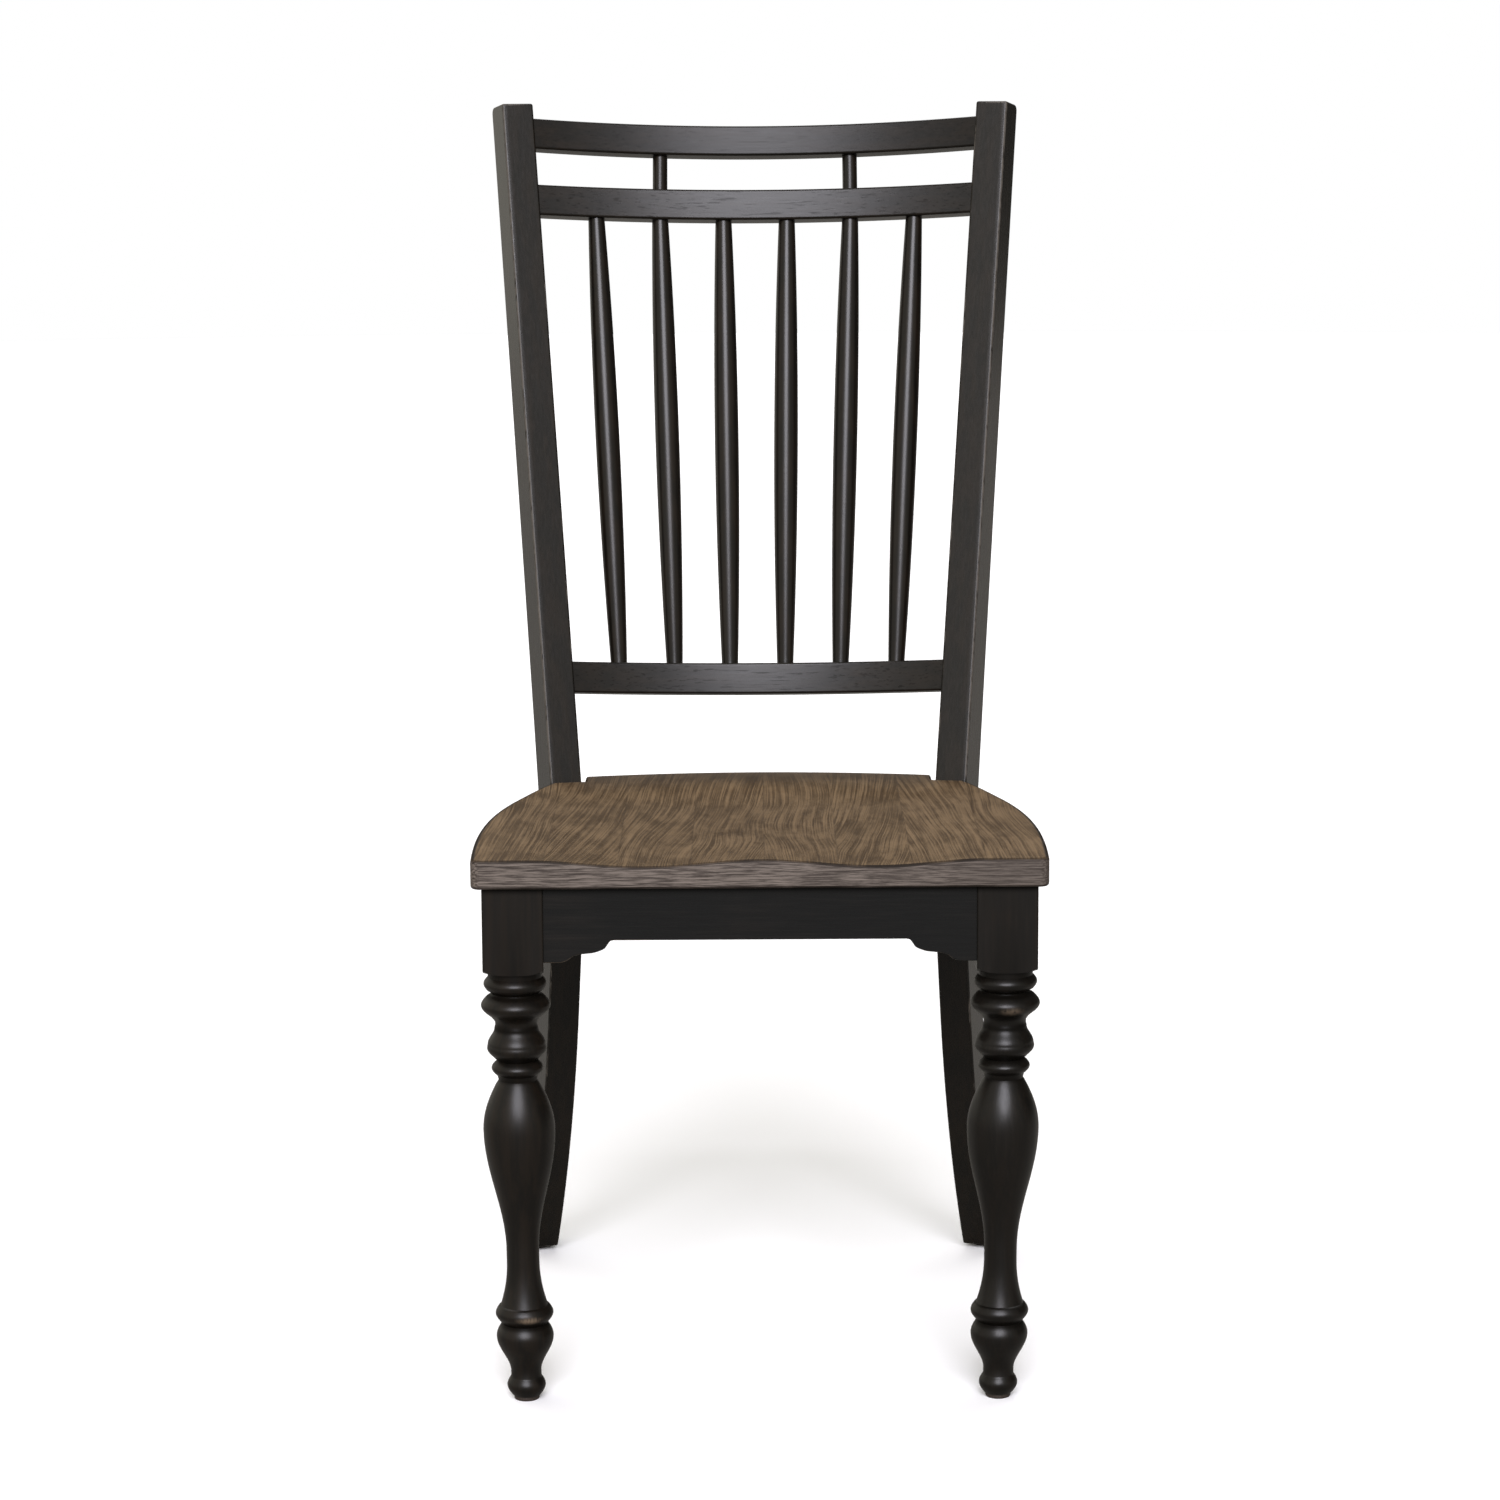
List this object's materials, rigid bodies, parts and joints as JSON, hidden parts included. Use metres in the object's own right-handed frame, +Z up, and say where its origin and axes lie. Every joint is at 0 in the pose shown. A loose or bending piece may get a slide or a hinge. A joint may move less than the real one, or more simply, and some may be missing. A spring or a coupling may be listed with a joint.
{
  "type": "dining side chair",
  "caption": "Armless dining chair with a saddled wooden seat, a raked back of slim turned spindles between bowed rails, turned front legs and swept rear legs.",
  "frame": {"origin": "on the floor at the centre of the chair's bounding box", "axes": "+Z up, the chair faces -Y, +X to the right for someone who looks at its front; left and right in the node names are that viewer's"},
  "size_m": [0.4792, 0.551, 1.0668],
  "materials": {
    "black_painted_wood": "satin black paint with brown rub-through along some edges",
    "brown_seat_wood": "satin lacquer over a mid brown stain, with dark glaze along the edges",
    "bare_block_wood": "bare sanded hardwood",
    "screw_steel": "zinc plated",
    "glide_plastic": "matt moulded plastic"
  },
  "bodies": {
    "root": {"seat": "brown_seat_wood", "crest_rail": "black_painted_wood", "upper_rail": "black_painted_wood", "lower_rail": "black_painted_wood", "front_apron": "black_painted_wood", "rear_apron": "black_painted_wood", "front_leg_left": "black_painted_wood", "front_leg_right": "black_painted_wood", "rear_post_left": "black_painted_wood", "rear_post_right": "black_painted_wood", "side_apron_left": "black_painted_wood", "side_apron_right": "black_painted_wood", "short_spindle_left": "black_painted_wood", "short_spindle_right": "black_painted_wood", "spindle_1": "black_painted_wood", "spindle_2": "black_painted_wood", "spindle_3": "black_painted_wood", "spindle_4": "black_painted_wood", "spindle_5": "black_painted_wood", "spindle_6": "black_painted_wood", "corner_block_front_left": "bare_block_wood", "corner_block_front_right": "bare_block_wood", "corner_block_rear_left": "bare_block_wood", "corner_block_rear_right": "bare_block_wood", "seat_screw_front_left": "screw_steel", "seat_screw_front_right": "screw_steel", "seat_screw_rear_left": "screw_steel", "seat_screw_rear_right": "screw_steel", "glide_front_left": "glide_plastic", "glide_front_right": "glide_plastic", "glide_rear_left": "glide_plastic", "glide_rear_right": "glide_plastic"}
  },
  "joints": []
}
